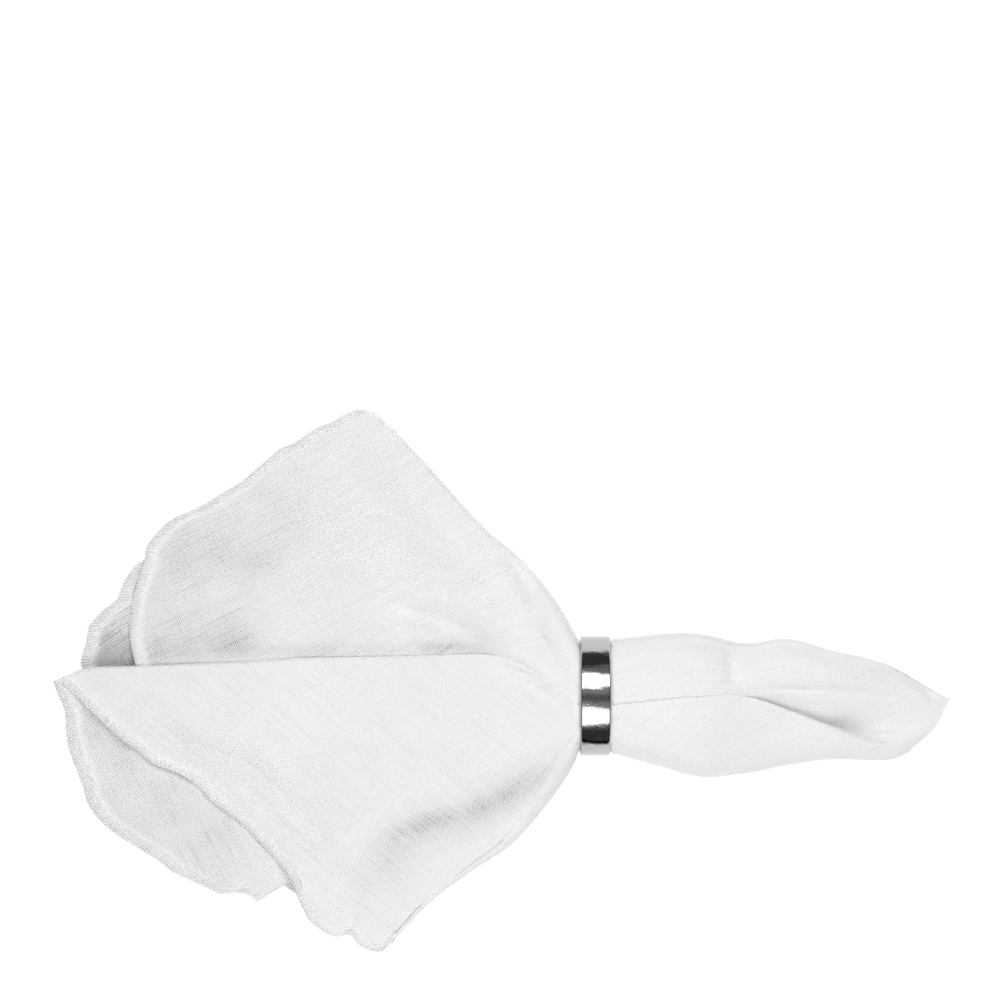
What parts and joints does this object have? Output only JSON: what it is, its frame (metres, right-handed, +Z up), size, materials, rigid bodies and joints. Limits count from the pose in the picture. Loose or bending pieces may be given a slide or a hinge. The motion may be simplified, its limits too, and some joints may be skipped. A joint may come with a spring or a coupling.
{
  "type": "cloth napkin in a ring",
  "caption": "White linen napkin drawn through a polished round metal ring, its hems fanned out on one side and its middle gathered to a soft closed tail on the other.",
  "frame": {"origin": "on the table, under the middle of the bounding box", "axes": "+Z up from the table; +X from the fanned hems through the ring to the closed tail"},
  "size_m": [0.3166, 0.1916, 0.042],
  "materials": {
    "linen": "loose plain weave, slightly sheer, overlocked edge",
    "polished_steel": "mirror polished"
  },
  "bodies": {
    "root": {"napkin": "linen", "ring": "polished_steel"}
  },
  "joints": []
}
